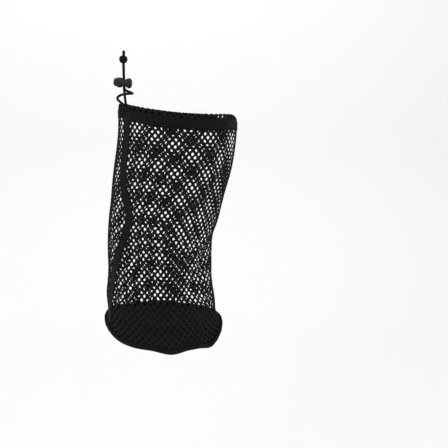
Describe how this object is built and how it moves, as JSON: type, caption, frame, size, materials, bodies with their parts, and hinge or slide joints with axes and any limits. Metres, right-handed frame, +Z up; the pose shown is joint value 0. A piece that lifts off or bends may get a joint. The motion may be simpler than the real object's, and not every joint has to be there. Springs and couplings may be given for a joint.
{
  "type": "drawstring mesh bag",
  "caption": "Drawstring net bag: an open tube of knotted mesh on a round fabric base, with a taped casing, a bound upright seam, a drawstring and a sprung cord lock.",
  "frame": {"origin": "the grip on the drawstring's two strands, just above the cord lock, where a hand or a hook holds the bag up", "axes": "+Z up, +X to the right across the mouth from the cord's corner, +Y towards the back"},
  "size_m": [0.1753, 0.1636, 0.364],
  "materials": {
    "net": "matte knotted polyester net",
    "tape": "matte ribbed woven tape",
    "base_cloth": "matte plain-woven cloth",
    "thread": "matte sewing thread",
    "cord": "braided polyester cord",
    "lock_plastic": "moulded satin plastic",
    "spring_steel": "drawn steel wire"
  },
  "bodies": {
    "bag": {"net_wall": "net", "casing_tape": "tape", "casing_stitching": "thread", "cord_exit_bartacks": "thread", "seam_tape": "tape", "seam_stitching": "thread", "base_panel": "base_cloth", "base_binding": "tape", "base_stitching": "thread", "drawstring_loop": "cord", "strand_taut": "cord", "strand_slack": "cord", "end_knot": "cord"},
    "lock": {"lock_barrel": "lock_plastic", "lock_spring": "spring_steel"},
    "plunger": {"lock_plunger": "lock_plastic"}
  },
  "joints": [
    {"name": "lock_slide", "type": "slide", "parent": "bag", "child": "lock", "axis": [0, 0, 1], "range_m": [0, 0.016]},
    {"name": "plunger_press", "type": "slide", "parent": "lock", "child": "plunger", "axis": [0.9962, 0, -0.0872], "range_m": [0, 0.0026], "stiffness_N_per_m": 1500, "springref_m": -0.002, "deforming": ["lock_spring"]}
  ]
}
